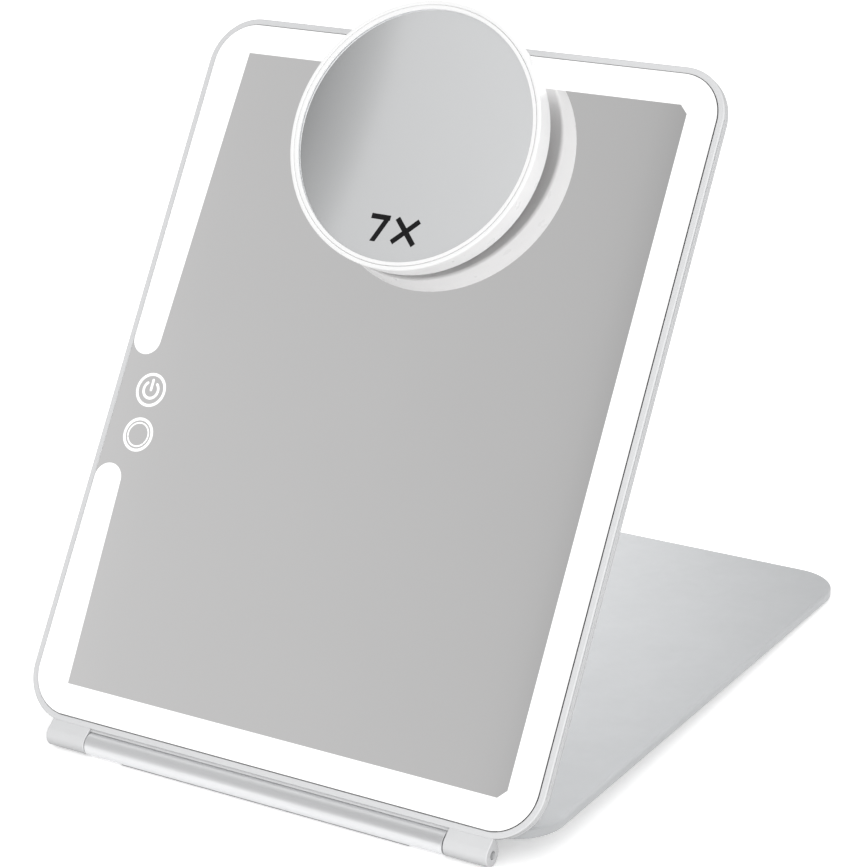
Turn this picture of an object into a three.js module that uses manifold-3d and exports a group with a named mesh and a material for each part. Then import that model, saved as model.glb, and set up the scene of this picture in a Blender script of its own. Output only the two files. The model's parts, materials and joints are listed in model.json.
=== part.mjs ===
// Lighted makeup mirror on a folding cover.
//
// A thin lit mirror panel turns on a long hinge at the front of a flat cover. The cover
// lies behind the panel as its stand and swings round underneath to shut over the glass.
// A round magnifier sits on the glass by a suction cup.
//
// Millimetres, +Z up. The origin is on the table, midway along the hinge and straight
// below its axis. +X is to the right of someone who looks into the mirror, +Y is behind it.

import * as THREE from 'three';
import { mergeVertices } from 'three/addons/utils/BufferGeometryUtils.js';
import Module from 'manifold-3d';

const wasm = await Module();
wasm.setup();

// Room kept between neighbouring pieces
const clearance = 0.3;

// Mirror glass
const glassWidth = 190;
const glassHeight = 243.5;
const glassCorner = 14.5;
const glassThickness = 1.6;

// Panel housing, whose rim stands round the glass, with the glass just proud of it
const rimWidth = 2.3;
const glassProud = 0.3;
const rimRounding = 0.9;
const backRounding = 2.6;
const seamGap = 0.4;
const shellFloor = 1.2;
const ledgeWidth = 2.0;
const ledgeThickness = 0.7;

// The bottom edge starts to slope away this far behind the rim, to let the cover pass
const reliefDepth = 1.7;

// Hinge, with its axis behind the front face of the glass
const hingeSetback = 2.9;
const hingeGap = 0.55;
const barrelRadius = 3.85;
const barrelWall = 1.35;
const lugInset = 13.3;
const lugLength = 15.5;
const lugBoreRadius = 1.4;
const pinRecess = 1.0;
const pinGrip = 12;

// How the mirror stands, in degrees from upright, and how much further back it goes
const panelLean = 33;
const backStop = 2.5;

// Cover, which starts just behind the hinge axis and ends short of the panel's top edge
const shutGap = 0.7;
const coverFront = 3.9;
const coverShortfall = 12.7;
const coverCorner = 17;
const coverRounding = 0.9;
const coverWall = 2.0;
const coverSkin = 0.8;
const hollowFront = 13;
const linerThickness = 1.0;
const stiffenerThickness = 0.9;
const neckFoot = 2.0;
const neckOverlap = 3;

// Rubber under the barrel and under the far edge of the cover
const stripEndInset = 13.2;
const stripWidth = 2.6;
const stripThickness = 0.9;
const stripProud = 0.3;
const bumperRadius = 5;
const bumperInset = 14;

// Lit band round the glass, broken at the left for two touch marks, one above the other
const bandWidth = 10.3;
const touchUp = 104.4;
const touchGapLength = 38.5;
const touchInset = 12.6;
const markSpacing = 15.7;
const touchPadRadius = 5;

// Lamps and the diffuser in front of them
const diffuserInset = 3.0;
const diffuserOverlap = 1.5;
const diffuserThickness = 1.2;
const ledStripInset = 5.6;
const ledStripWidth = 4;
const ledBoardThickness = 0.4;
const ledPitch = 12;
const ledLength = 3;
const ledHeight = 0.6;
const ledEndMargin = 6;

// Control board behind the touch marks, with a row of chips
const boardThickness = 0.8;
const boardMargin = 0.5;
const chipSpacing = 6;
const chipSize = 5;
const chipPitch = 10;
const chipHeight = 0.9;

// Two flat battery cells, side by side
const cellWidth = 58;
const cellHeight = 92;
const cellThickness = 2.5;
const cellCorner = 5;
const cellSpacing = 6;
const cellUp = 70;
const cellToBoard = 5;

// Charging socket in the left side, level with the touch marks
const socketDepth = 7;
const socketWidth = 8.9;
const socketThickness = 2.6;
const socketRounding = 1.15;
const socketWall = 0.3;
const socketBack = 0.8;
const socketSetback = 0.4;
const tongueWidth = 6.4;
const tongueThickness = 0.6;
const tongueLength = 4.6;

// Magnifier, placed from the middle of the top edge of the glass; angles in degrees
const magnifierAcross = -1.3;
const magnifierDown = 34.9;
const magnifierTiltDown = 3.1;
const magnifierTiltAside = 1.2;
const magnifierTurn = 5;
const magnifierRadius = 45.1;
const magnifierDraft = 0.6;
const magnifierBackRounding = 1.0;
const magnifierFrontRounding = 0.75;
const magnifierWall = 1.5;
const magnifierFloor = 3.2;
const lensSeat = 2.6;
const lensThickness = 2.5;
const lensCurveRadius = 385;
const ringWidth = 1.0;
const ringThickness = 1.1;
const ringChamfer = 0.25;
const ringSetback = 0.2;

// Suction cup, which holds the stud on the magnifier's back
const bossRadius = 11;
const bossHeight = 0.6;
const studRadius = 3.8;
const studLength = 1.6;
const cupRadius = 16;
const cupTopRadius = 7.5;
const cupLip = 0.8;
const cupWall = 0.9;
const cupHollow = 1.25;
const cupPlay = 0.5;

// Fineness of the curves
const cornerSteps = 5;
const roundingSteps = 3;
const lugSteps = 14;
const barrelSides = 40;
const boreSides = 24;
const discSides = 72;
const cupSides = 40;
const lensRings = 6;

// Anything this large reaches past the whole object
const beyond = 400;

// Panel frame: origin on the hinge axis, x along it, y up the panel, z out of the glass
const panelBottom = barrelRadius + hingeGap;
const glassBottom = panelBottom + rimWidth;
const glassTop = glassBottom + glassHeight;
const panelHalfWidth = glassWidth / 2 + rimWidth;
const glassFront = hingeSetback;
const glassBack = glassFront - glassThickness;
const rimFront = glassFront - glassProud;
const ledgeFront = glassBack - clearance;
const frameBack = ledgeFront - ledgeThickness;
const shellFront = frameBack - seamGap;

// The chamber behind the glass is as deep as the thickest of what lies in it
const chamberDepth = 2 * clearance + Math.max(
  socketThickness,
  cellThickness,
  boardThickness + chipHeight,
  ledBoardThickness + ledHeight + clearance + diffuserThickness,
);
const floorFront = glassBack - chamberDepth;
const panelBack = floorFront - shellFloor;
const onFloor = floorFront + clearance;
const underGlass = glassBack - clearance;

// The sloping bottom edge ends below the lowest lamps
const reliefStart = new THREE.Vector2(panelBottom, rimFront - reliefDepth);
const reliefEnd = new THREE.Vector2(glassBottom + ledStripInset - clearance, panelBack);

// Hinge, along x
const lugOuter = panelHalfWidth - lugInset;
const lugInner = lugOuter - lugLength;
const barrelHalf = lugInner - clearance;
const barrelBoreRadius = barrelRadius - barrelWall;
const pinRadius = lugBoreRadius - clearance;

// Touch marks, control board and socket
const touchMiddle = glassBottom + touchUp;
const touchX = -glassWidth / 2 + touchInset;
const socketMouth = -panelHalfWidth + socketSetback;
const socketMiddle = onFloor + socketThickness / 2;
const boardLeft = socketMouth + socketDepth + clearance;
const boardFront = onFloor + boardThickness;
const chipLeft = touchX + touchPadRadius + chipSpacing;
const boardRight = chipLeft + chipSize + boardMargin;

// Cover frame: origin on the hinge axis, y along the cover, z out of its outer face
const coverReach = glassTop + rimWidth - coverShortfall;
const coverUnder = glassFront + shutGap;
const linerTop = coverUnder + linerThickness;
const stiffenerUnder = linerTop + 2 * clearance;
const stiffenerTop = stiffenerUnder + stiffenerThickness;
const hollowTop = stiffenerTop + clearance;
const coverTop = hollowTop + coverSkin;
const bumperReach = coverReach - bumperInset;
const bumperAcross = panelHalfWidth - bumperInset;

// The bumpers reach the glass when the cover is shut
const bumperDrop = glassFront;

// The barrel hangs below the cover, so the cover slopes down to its far edge
const hingeHeight = barrelRadius + stripProud;
const coverSlope = Math.asin(hingeHeight / Math.hypot(bumperReach, bumperDrop))
  + Math.atan2(bumperDrop, bumperReach);
const panelAngle = THREE.MathUtils.degToRad(90 - panelLean);
const stopOpening = panelAngle + coverSlope - THREE.MathUtils.degToRad(backStop);

// Magnifier: distances out of the glass, then the disc's own heights above its back face
const cupTop = cupHollow + cupWall + studLength - clearance;
const magnifierStandoff = cupHollow + cupWall + cupPlay + studLength + bossHeight;
const lensOuter = magnifierRadius - magnifierWall - clearance;
const lensBack = magnifierFloor + clearance;
const ringBack = lensBack + lensRise(lensOuter) + lensThickness + clearance;
const ringFront = ringBack + ringThickness;
const magnifierDepth = ringFront + ringSetback;

// How far the curved lens has risen at a distance from its middle
function lensRise(radius) {
  return lensCurveRadius - Math.sqrt(lensCurveRadius ** 2 - radius ** 2);
}

// Solids from triangles and back

// Turns a triangle list inside out where its faces point inwards
function faceOutwards(positions, triangles) {
  const a = new THREE.Vector3();
  const b = new THREE.Vector3();
  const c = new THREE.Vector3();
  let volume = 0;
  for (let i = 0; i < triangles.length; i += 3) {
    a.fromArray(positions, 3 * triangles[i]);
    b.fromArray(positions, 3 * triangles[i + 1]);
    c.fromArray(positions, 3 * triangles[i + 2]);
    volume += a.dot(b.cross(c));
  }
  if (volume > 0) return;
  for (let i = 0; i < triangles.length; i += 3) {
    [triangles[i], triangles[i + 1]] = [triangles[i + 1], triangles[i]];
  }
}

function solid(geometry) {
  geometry.deleteAttribute('normal');
  geometry.deleteAttribute('uv');
  const merged = mergeVertices(geometry, 1e-4);
  const vertProperties = new Float32Array(merged.getAttribute('position').array);
  const triVerts = new Uint32Array(merged.getIndex().array);
  faceOutwards(vertProperties, triVerts);
  return new wasm.Manifold(new wasm.Mesh({ numProp: 3, vertProperties, triVerts }));
}

function geometryOf(body) {
  const { vertProperties, triVerts } = body.getMesh();
  const shared = new THREE.BufferGeometry();
  shared.setAttribute('position', new THREE.BufferAttribute(vertProperties, 3));
  shared.setIndex(new THREE.BufferAttribute(triVerts, 1));
  const faceted = shared.toNonIndexed();
  faceted.computeVertexNormals();
  return faceted;
}

// Outlines

function roundedRectangle(left, bottom, right, top, radius) {
  const shape = new THREE.Shape();
  shape.absarc(right - radius, bottom + radius, radius, -Math.PI / 2, 0, false);
  shape.absarc(right - radius, top - radius, radius, 0, Math.PI / 2, false);
  shape.absarc(left + radius, top - radius, radius, Math.PI / 2, Math.PI, false);
  shape.absarc(left + radius, bottom + radius, radius, Math.PI, 1.5 * Math.PI, false);
  shape.closePath();
  return shape;
}

// The outline of the glass, grown outwards by a distance
function glassOutline(growth) {
  const halfWidth = glassWidth / 2 + growth;
  const low = glassBottom - growth;
  const high = glassTop + growth;
  return roundedRectangle(-halfWidth, low, halfWidth, high, glassCorner + growth);
}

// The outline of the cover, drawn in by a distance at its sides and its far edge
function coverOutline(inset, front) {
  const halfWidth = panelHalfWidth - inset;
  return roundedRectangle(-halfWidth, front, halfWidth, coverReach - inset, coverCorner - inset);
}

// The mouth of the charging socket, as a section in y and z
function socketOutline(growth) {
  const halfWidth = socketWidth / 2 + growth;
  const halfThickness = socketThickness / 2 + growth;
  return roundedRectangle(
    touchMiddle - halfWidth,
    socketMiddle - halfThickness,
    touchMiddle + halfWidth,
    socketMiddle + halfThickness,
    socketRounding + growth,
  );
}

// Basic solids

function slab(shape, low, high) {
  const settings = { depth: high - low, bevelEnabled: false, curveSegments: cornerSteps };
  return solid(new THREE.ExtrudeGeometry(shape, settings).translate(0, 0, low));
}

// A slab whose shape grows by the rounding on the way in from each face
function roundedSlab(shape, low, high, rounding) {
  const settings = {
    depth: high - low - 2 * rounding,
    bevelThickness: rounding,
    bevelSize: rounding,
    bevelSegments: roundingSteps,
    curveSegments: cornerSteps,
  };
  return solid(new THREE.ExtrudeGeometry(shape, settings).translate(0, 0, low + rounding));
}

function boxGeometry(left, right, front, back, low, high) {
  const geometry = new THREE.BoxGeometry(right - left, back - front, high - low);
  return geometry.translate((left + right) / 2, (front + back) / 2, (low + high) / 2);
}

function box(left, right, front, back, low, high) {
  return solid(boxGeometry(left, right, front, back, low, high));
}

// A box that is level with the table, in the cover's own sloping frame
function levelBox(left, right, front, back, low, high) {
  return solid(boxGeometry(left, right, front, back, low, high).rotateX(coverSlope));
}

// A section in y and z, swept along x
function barAlongX(section, left, right, curveSegments = cornerSteps) {
  const settings = { depth: right - left, bevelEnabled: false, curveSegments };
  const ontoItsSide = new THREE.Matrix4().makeBasis(
    new THREE.Vector3(0, 1, 0),
    new THREE.Vector3(0, 0, 1),
    new THREE.Vector3(1, 0, 0),
  );
  const geometry = new THREE.ExtrudeGeometry(section, settings).applyMatrix4(ontoItsSide);
  return solid(geometry.translate(left, 0, 0));
}

// A rod on the hinge axis
function rodAlongX(radius, left, right, sides) {
  const geometry = new THREE.CylinderGeometry(radius, radius, right - left, sides);
  return solid(geometry.rotateZ(Math.PI / 2).translate((left + right) / 2, 0, 0));
}

function discAlongZ(radius, low, high, x, y) {
  const geometry = new THREE.CylinderGeometry(radius, radius, high - low, cupSides);
  return solid(geometry.rotateX(Math.PI / 2).translate(x, y, (low + high) / 2));
}

// A profile of [radius, height] pairs, turned round the z axis
function turned(profile, sides) {
  const points = profile.map(([radius, height]) => new THREE.Vector2(radius, height));
  return solid(new THREE.LatheGeometry(points, sides).rotateX(Math.PI / 2));
}

// All that lies to one side of a line in y and z: side 1 is its left and -1 its right.
// The line is first moved by the offset, which is positive towards that side.
function besideLine(start, end, side, offset) {
  const along = end.clone().sub(start).normalize();
  const across = new THREE.Vector2(-along.y, along.x).multiplyScalar(side);
  const near = start.clone().addScaledVector(along, -beyond).addScaledVector(across, offset);
  const far = end.clone().addScaledVector(along, beyond).addScaledVector(across, offset);
  const farOut = far.clone().addScaledVector(across, beyond);
  const nearOut = near.clone().addScaledVector(across, beyond);
  return barAlongX(new THREE.Shape([near, far, farOut, nearOut]), -beyond, beyond);
}

// The two ends of the hinge, with the sign of x at each
const ends = [['left', -1], ['right', 1]];

// From one distance off the middle to another, at the end with that sign
function spanAt(sign, near, far) {
  return sign > 0 ? [near, far] : [-far, -near];
}

// Panel housing

// All that lies behind the sloping bottom edge, moved into the panel by a wall
function relief(wall) {
  return besideLine(reliefStart, reliefEnd, -1, -wall);
}

// The whole panel as one block: one slab rounds its front face and one its back face,
// and each runs on past the face that the other one rounds
function panelBlank() {
  const frontOutline = glassOutline(rimWidth - rimRounding);
  const backOutline = glassOutline(rimWidth - backRounding);
  const front = roundedSlab(frontOutline, panelBack - 2 * rimRounding, rimFront, rimRounding);
  const back = roundedSlab(backOutline, panelBack, rimFront + 2 * backRounding, backRounding);
  return front.intersect(back).subtract(relief(0));
}

// The opening in the left wall that the charging socket looks out of
function socketWindow() {
  return barAlongX(socketOutline(clearance), -beyond, boardLeft);
}

// A drop shape round the hinge axis, drawn up to a root inside the frame's bottom edge
function lug(sign) {
  const root = panelBottom + rimWidth / 2;
  const back = new THREE.Vector2(root, reliefStart.y);
  const front = new THREE.Vector2(root, rimFront - rimRounding);
  const frontTangent = front.angle() + Math.acos(barrelRadius / front.length());
  const backTangent = back.angle() - Math.acos(barrelRadius / back.length());
  const section = new THREE.Shape();
  section.moveTo(back.x, back.y);
  section.lineTo(front.x, front.y);
  section.absarc(0, 0, barrelRadius, frontTangent, backTangent + 2 * Math.PI, false);
  section.closePath();
  const [left, right] = spanAt(sign, lugInner, lugOuter);
  const bore = rodAlongX(lugBoreRadius, left - clearance, right + clearance, boreSides);
  return barAlongX(section, left, right, lugSteps).subtract(bore);
}

// A rim round the glass, a ledge under the glass's edge, and the two lugs of the hinge
function frontFrame() {
  let frame = panelBlank().intersect(box(-beyond, beyond, -beyond, beyond, frameBack, beyond));
  frame = frame.subtract(slab(glassOutline(clearance), ledgeFront, beyond));
  frame = frame.subtract(slab(glassOutline(-ledgeWidth), -beyond, beyond));
  frame = frame.subtract(socketWindow());
  for (const [, sign] of ends) frame = frame.add(lug(sign));
  return frame;
}

// A tray with a flat floor, whose bottom wall follows the sloping edge
function rearShell() {
  const chamber = slab(glassOutline(clearance), floorFront, beyond).subtract(relief(shellFloor));
  const shell = panelBlank().intersect(box(-beyond, beyond, -beyond, beyond, -beyond, shellFront));
  return shell.subtract(chamber).subtract(socketWindow());
}

function mirrorGlass() {
  return slab(glassOutline(0), glassBack, glassFront);
}

// Light

function diffuserRing() {
  const outer = slab(glassOutline(-diffuserInset), underGlass - diffuserThickness, underGlass);
  const inner = slab(glassOutline(-bandWidth - diffuserOverlap), -beyond, beyond);
  const gapLow = touchMiddle - touchGapLength / 2;
  const gapHigh = touchMiddle + touchGapLength / 2;
  const touchGap = box(-beyond, 0, gapLow, gapHigh, -beyond, beyond);
  return outer.subtract(inner).subtract(touchGap);
}

// A board along y with a row of lamps on its front, centred on its own middle
function ledStrip(length) {
  const boardFace = onFloor + ledBoardThickness;
  const lampFace = boardFace + ledHeight;
  const lamps = Math.floor((length - 2 * ledEndMargin) / ledPitch) + 1;
  const firstLamp = -(lamps - 1) * ledPitch / 2;
  const section = new THREE.Shape();
  section.moveTo(length / 2, boardFace);
  section.lineTo(length / 2, onFloor);
  section.lineTo(-length / 2, onFloor);
  section.lineTo(-length / 2, boardFace);
  for (let i = 0; i < lamps; i += 1) {
    const start = firstLamp + i * ledPitch - ledLength / 2;
    section.lineTo(start, boardFace);
    section.lineTo(start, lampFace);
    section.lineTo(start + ledLength, lampFace);
    section.lineTo(start + ledLength, boardFace);
  }
  section.closePath();
  return barAlongX(section, -ledStripWidth / 2, ledStripWidth / 2);
}

// Electronics, on the floor of the rear shell

function batteryCell() {
  const outline = roundedRectangle(0, 0, cellWidth, cellHeight, cellCorner);
  return slab(outline, onFloor, onFloor + cellThickness);
}

function controlBoard() {
  const low = touchMiddle - touchGapLength / 2 + clearance;
  const high = touchMiddle + touchGapLength / 2 - clearance;
  let board = box(boardLeft, boardRight, low, high, onFloor, boardFront);
  for (const place of [-1, 0, 1]) {
    const chipLow = touchMiddle + place * chipPitch - chipSize / 2;
    const chipTop = boardFront + chipHeight;
    board = board.add(
      box(chipLeft, chipLeft + chipSize, chipLow, chipLow + chipSize, onFloor, chipTop),
    );
  }
  return board;
}

// A disc between the control board and the glass, above or below the touch marks' middle
function touchPad(place) {
  const y = touchMiddle + place * markSpacing / 2;
  return discAlongZ(touchPadRadius, boardFront + clearance, underGlass, touchX, y);
}

// A sleeve that is open to the left, with a tongue standing in it
function chargeSocket() {
  const end = socketMouth + socketDepth;
  const inside = end - socketBack;
  const sleeve = barAlongX(socketOutline(0), socketMouth, end);
  const hollow = barAlongX(socketOutline(-socketWall), -beyond, inside);
  const tongue = box(
    inside - tongueLength,
    inside + socketBack / 2,
    touchMiddle - tongueWidth / 2,
    touchMiddle + tongueWidth / 2,
    socketMiddle - tongueThickness / 2,
    socketMiddle + tongueThickness / 2,
  );
  return sleeve.subtract(hollow).add(tongue);
}

// Hinge

// A tube between the lugs, with a groove underneath for the rubber strip
function hingeBarrel() {
  const halfLength = barrelHalf - stripEndInset + clearance;
  const halfWidth = stripWidth / 2 + clearance;
  const grooveTop = -hingeHeight + stripThickness + clearance;
  const groove = levelBox(-halfLength, halfLength, -halfWidth, halfWidth, -beyond, grooveTop);
  const bore = rodAlongX(barrelBoreRadius, -beyond, beyond, boreSides);
  return rodAlongX(barrelRadius, -barrelHalf, barrelHalf, barrelSides)
    .subtract(bore)
    .subtract(groove);
}

// A ring in the barrel's end that grips the pin, so that the panel stays where it is put
function frictionInsert(sign) {
  const [left, right] = spanAt(sign, barrelHalf - pinGrip, barrelHalf);
  const bore = rodAlongX(lugBoreRadius, left - clearance, right + clearance, boreSides);
  return rodAlongX(barrelBoreRadius - clearance, left, right, boreSides).subtract(bore);
}

function hingePin(sign) {
  const [left, right] = spanAt(sign, barrelHalf - pinGrip, lugOuter - pinRecess);
  return rodAlongX(pinRadius, left, right, boreSides);
}

// Cover

// The room that the panel's bottom edge needs when it leans on its back stop
function panelAtStop() {
  const turnToCover = (point) => point.clone().rotateAround(new THREE.Vector2(), stopOpening);
  const start = turnToCover(reliefStart);
  const end = turnToCover(reliefEnd);
  const upTheBack = turnToCover(reliefEnd.clone().add(new THREE.Vector2(glassHeight, 0)));
  const aboveSlope = besideLine(start, end, 1, -clearance);
  const aheadOfBack = besideLine(end, upTheBack, 1, -clearance);
  return aboveSlope.intersect(aheadOfBack);
}

// The web that carries the barrel, between the two lugs
function neck() {
  const section = new THREE.Shape([
    new THREE.Vector2(0, neckFoot),
    new THREE.Vector2(coverFront, neckFoot),
    new THREE.Vector2(coverFront, coverUnder),
    new THREE.Vector2(coverFront + neckOverlap, coverUnder),
    new THREE.Vector2(coverFront + neckOverlap, coverTop),
    new THREE.Vector2(0, coverTop),
  ]);
  return barAlongX(section, -barrelHalf, barrelHalf);
}

function coverShell() {
  const outline = coverOutline(coverRounding, coverFront + coverRounding);
  const plate = roundedSlab(outline, coverUnder, coverTop, coverRounding);
  const barrelSeat = rodAlongX(barrelRadius + clearance, -beyond, beyond, barrelSides);
  const hollow = slab(coverOutline(coverWall, hollowFront), -beyond, hollowTop);
  return plate.add(neck()).subtract(barrelSeat).subtract(panelAtStop()).subtract(hollow);
}

// A flat piece that fills the cover's hollow from side to side
function hollowFilling(low, high) {
  return slab(coverOutline(coverWall + clearance, hollowFront + clearance), low, high);
}

function coverLiner() {
  let liner = hollowFilling(coverUnder, linerTop);
  for (const [, sign] of ends) {
    const holeRadius = bumperRadius + clearance;
    const hole = discAlongZ(holeRadius, -beyond, beyond, sign * bumperAcross, bumperReach);
    liner = liner.subtract(hole);
  }
  return liner;
}

// A rubber disc through the liner, cut off level with the table
function bumper(sign) {
  const low = bumperDrop - clearance;
  const high = stiffenerUnder - clearance;
  const disc = discAlongZ(bumperRadius, low, high, sign * bumperAcross, bumperReach);
  return disc.subtract(levelBox(-beyond, beyond, -beyond, beyond, -beyond, -hingeHeight));
}

function barrelStrip() {
  const halfLength = barrelHalf - stripEndInset;
  const halfWidth = stripWidth / 2;
  const top = -hingeHeight + stripThickness;
  return levelBox(-halfLength, halfLength, -halfWidth, halfWidth, -hingeHeight, top);
}

// Magnifier

// Points of a quarter round from one [radius, height] to another, bulging to the first
// point's height or, for a round that starts at the side, to its radius
function quarterRound(from, to, startsAtSide) {
  const points = [];
  for (let i = 0; i <= roundingSteps; i += 1) {
    const angle = (i / roundingSteps) * Math.PI / 2;
    const early = Math.sin(angle);
    const late = 1 - Math.cos(angle);
    const outward = startsAtSide ? late : early;
    const upward = startsAtSide ? early : late;
    points.push([
      from[0] + (to[0] - from[0]) * outward,
      from[1] + (to[1] - from[1]) * upward,
    ]);
  }
  return points;
}

// A tray that widens towards its front, with a stud at its back and a raised seat for the
// lens's edge
function magnifierHousing() {
  const backRadius = magnifierRadius - magnifierDraft;
  const inner = magnifierRadius - magnifierWall;
  const seatInner = inner - lensSeat;
  const seatTop = lensBack + lensRise(seatInner) - clearance;
  return turned([
    [0, -bossHeight - studLength],
    [studRadius, -bossHeight - studLength],
    [studRadius, -bossHeight],
    [bossRadius, -bossHeight],
    [bossRadius, 0],
    ...quarterRound(
      [backRadius - magnifierBackRounding, 0],
      [backRadius, magnifierBackRounding],
      false,
    ),
    ...quarterRound(
      [magnifierRadius, magnifierDepth - magnifierFrontRounding],
      [magnifierRadius - magnifierFrontRounding, magnifierDepth],
      true,
    ),
    [inner, magnifierDepth],
    [inner, seatTop],
    [seatInner, seatTop],
    [seatInner, magnifierFloor],
    [0, magnifierFloor],
  ], discSides);
}

// A curved mirror, hollow towards the front
function magnifierLens() {
  const back = [];
  for (let i = 0; i <= lensRings; i += 1) {
    const radius = lensOuter * i / lensRings;
    back.push([radius, lensBack + lensRise(radius)]);
  }
  const front = back.map(([radius, height]) => [radius, height + lensThickness]);
  return turned([...back, ...front.reverse()], discSides);
}

// The ring that holds the lens in its tray
function magnifierRing() {
  const inner = lensOuter - ringWidth;
  return turned([
    [inner, ringBack],
    [lensOuter, ringBack],
    [lensOuter, ringFront],
    [inner + ringChamfer, ringFront],
    [inner, ringFront - ringChamfer],
    [inner, ringBack],
  ], discSides);
}

// Heights are above the glass
function suctionCup() {
  const holeBottom = cupHollow + cupWall;
  const holeRadius = studRadius + cupPlay;
  return turned([
    [0, cupHollow],
    [cupRadius - cupWall, clearance],
    [cupRadius, clearance],
    [cupRadius, clearance + cupLip],
    [(cupRadius + cupTopRadius) / 2, cupTop / 2],
    [cupTopRadius, cupTop - cupLip],
    [cupTopRadius, cupTop],
    [holeRadius, cupTop],
    [holeRadius, holeBottom],
    [0, holeBottom],
  ], cupSides);
}

// Materials

function material(color, roughness, metalness) {
  return new THREE.MeshStandardMaterial({ color, roughness, metalness });
}

const frameFinish = material(0xe2e4e6, 0.38, 0.15);
const shellFinish = material(0xc9cbcd, 0.42, 0.2);
const mirrorFinish = material(0xbcbcbc, 0.03, 1);
const coverFinish = material(0xd2d4d6, 0.36, 0.55);
const barrelFinish = material(0xc2c4c6, 0.25, 0.9);
const whitePlastic = material(0xf2f2f2, 0.3, 0);
const opalPlastic = material(0xffffff, 0.6, 0);
const steelFinish = material(0x9b9da0, 0.3, 1);
const rubberFinish = material(0xb8babd, 0.85, 0);
const boardFinish = material(0x1f5a3a, 0.55, 0);
const cellFinish = material(0xa8abae, 0.45, 0.5);
const linerFinish = material(0xb4b6b9, 0.75, 0);
const cupFinish = material(0xd9dcdf, 0.35, 0);

// Assembly

function addPiece(parent, name, body, finish) {
  const mesh = new THREE.Mesh(geometryOf(body), finish);
  mesh.name = name;
  parent.add(mesh);
  return mesh;
}

function addCover(parent) {
  const cover = new THREE.Group();
  cover.position.z = hingeHeight;
  cover.rotation.x = -coverSlope;
  parent.add(cover);
  addPiece(cover, 'cover_shell', coverShell(), coverFinish);
  addPiece(cover, 'cover_stiffener', hollowFilling(stiffenerUnder, stiffenerTop), steelFinish);
  addPiece(cover, 'cover_liner', coverLiner(), linerFinish);
  addPiece(cover, 'hinge_barrel', hingeBarrel(), barrelFinish);
  addPiece(cover, 'barrel_strip', barrelStrip(), rubberFinish);
  for (const [side, sign] of ends) {
    addPiece(cover, `hinge_insert_${side}`, frictionInsert(sign), steelFinish);
    addPiece(cover, `cover_bumper_${side}`, bumper(sign), rubberFinish);
  }
}

// The side strips run between the round corners, and the others between the side strips
function addLedStrips(panel) {
  const inset = ledStripInset + ledStripWidth / 2;
  const sideX = glassWidth / 2 - inset;
  const low = glassBottom + glassCorner;
  const high = glassTop - glassCorner;
  const gapLow = touchMiddle - touchGapLength / 2;
  const gapHigh = touchMiddle + touchGapLength / 2;
  const upright = [
    ['led_strip_right', sideX, low, high],
    ['led_strip_left_lower', -sideX, low, gapLow],
    ['led_strip_left_upper', -sideX, gapHigh, high],
  ];
  for (const [name, x, from, to] of upright) {
    const strip = addPiece(panel, name, ledStrip(to - from), boardFinish);
    strip.position.set(x, (from + to) / 2, 0);
  }
  const level = [
    ['led_strip_bottom', glassBottom + inset],
    ['led_strip_top', glassTop - inset],
  ];
  const levelLength = 2 * sideX - ledStripWidth - 2 * clearance;
  for (const [name, y] of level) {
    const strip = addPiece(panel, name, ledStrip(levelLength), boardFinish);
    strip.position.set(0, y, 0);
    strip.rotation.z = Math.PI / 2;
  }
}

function addElectronics(panel) {
  addPiece(panel, 'control_board', controlBoard(), boardFinish);
  addPiece(panel, 'touch_pad_power', touchPad(1), steelFinish);
  addPiece(panel, 'touch_pad_mode', touchPad(-1), steelFinish);
  addPiece(panel, 'charge_socket', chargeSocket(), steelFinish);
  for (const [index, [side]] of ends.entries()) {
    const cell = addPiece(panel, `battery_cell_${side}`, batteryCell(), cellFinish);
    const x = boardRight + cellToBoard + index * (cellWidth + cellSpacing);
    cell.position.set(x, glassBottom + cellUp, 0);
  }
}

function addMagnifier(panel) {
  const magnifier = new THREE.Group();
  magnifier.position.set(magnifierAcross, glassTop - magnifierDown, glassFront);
  panel.add(magnifier);
  addPiece(magnifier, 'suction_cup', suctionCup(), cupFinish);
  const disc = new THREE.Group();
  disc.position.z = magnifierStandoff;
  disc.rotation.set(
    THREE.MathUtils.degToRad(magnifierTiltDown),
    THREE.MathUtils.degToRad(magnifierTiltAside),
    THREE.MathUtils.degToRad(magnifierTurn),
  );
  magnifier.add(disc);
  addPiece(disc, 'magnifier_housing', magnifierHousing(), whitePlastic);
  addPiece(disc, 'magnifier_lens', magnifierLens(), mirrorFinish);
  addPiece(disc, 'magnifier_ring', magnifierRing(), whitePlastic);
}

function addPanel(parent) {
  const panel = new THREE.Group();
  panel.position.z = hingeHeight;
  panel.rotation.x = panelAngle;
  parent.add(panel);
  addPiece(panel, 'front_frame', frontFrame(), frameFinish);
  addPiece(panel, 'rear_shell', rearShell(), shellFinish);
  addPiece(panel, 'mirror_glass', mirrorGlass(), mirrorFinish);
  addPiece(panel, 'diffuser_ring', diffuserRing(), opalPlastic);
  for (const [side, sign] of ends) {
    addPiece(panel, `hinge_pin_${side}`, hingePin(sign), steelFinish);
  }
  addLedStrips(panel);
  addElectronics(panel);
  addMagnifier(panel);
}

const mirror = new THREE.Group();
addCover(mirror);
addPanel(mirror);

export default mirror;
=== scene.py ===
# Looks of a lighted makeup mirror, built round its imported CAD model.
#
# The object's sizes are in millimetres and become metres when a mesh is made. The camera and
# the studio are in metres. The panel's own frame has its origin on the hinge axis, x along the
# hinge, y up the panel and z out of the glass. The cover's has the same origin, y along the
# cover and z out of its outer face.

import json
import math

import bmesh
import bpy
from mathutils import Matrix, Quaternion, Vector


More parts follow.
